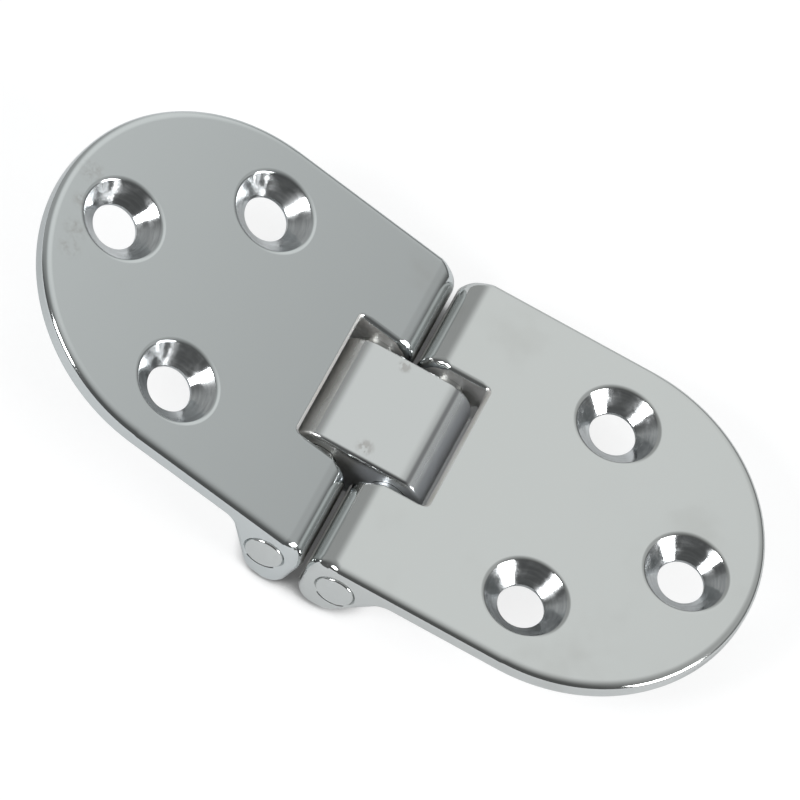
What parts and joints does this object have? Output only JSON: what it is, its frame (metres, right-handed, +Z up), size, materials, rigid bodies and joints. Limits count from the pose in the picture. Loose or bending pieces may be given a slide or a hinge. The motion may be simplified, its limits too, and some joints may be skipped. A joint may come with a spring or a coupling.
{
  "type": "lid stop hinge",
  "caption": "Flap hinge with round-ended countersunk leaves on separate pins, joined by a short link that lets them open flat and fold face to face.",
  "frame": {"origin": "middle of the hinge in plan, at the height of the surface its knuckles stand on", "axes": "+Z up, out of the leaves' countersunk faces; +X along the hinge from the raised left leaf to the level right leaf; +Y along the pins, away from the viewer"},
  "size_m": [0.0792, 0.0386, 0.0167],
  "materials": {
    "leaf_steel": "mirror polished cast stainless steel",
    "link_steel": "mirror polished cast stainless steel",
    "pin_steel": "peened stainless steel pin, polished with the leaf"
  },
  "bodies": {
    "right_leaf": {"right_leaf": "leaf_steel", "right_pin": "pin_steel"},
    "link": {"centre_link": "link_steel"},
    "left_leaf": {"left_leaf": "leaf_steel", "left_pin": "pin_steel"}
  },
  "joints": [
    {"name": "right_pivot", "type": "hinge", "parent": "right_leaf", "child": "link", "pos_m": [0.00313, 0, 0.00443], "axis": [0, 1, 0], "range_deg": [0, 90]},
    {"name": "left_pivot", "type": "hinge", "parent": "link", "child": "left_leaf", "pos_m": [-0.00467, 0, 0.00443], "axis": [0, 1, 0], "range_deg": [-14.1, 75.9]}
  ]
}
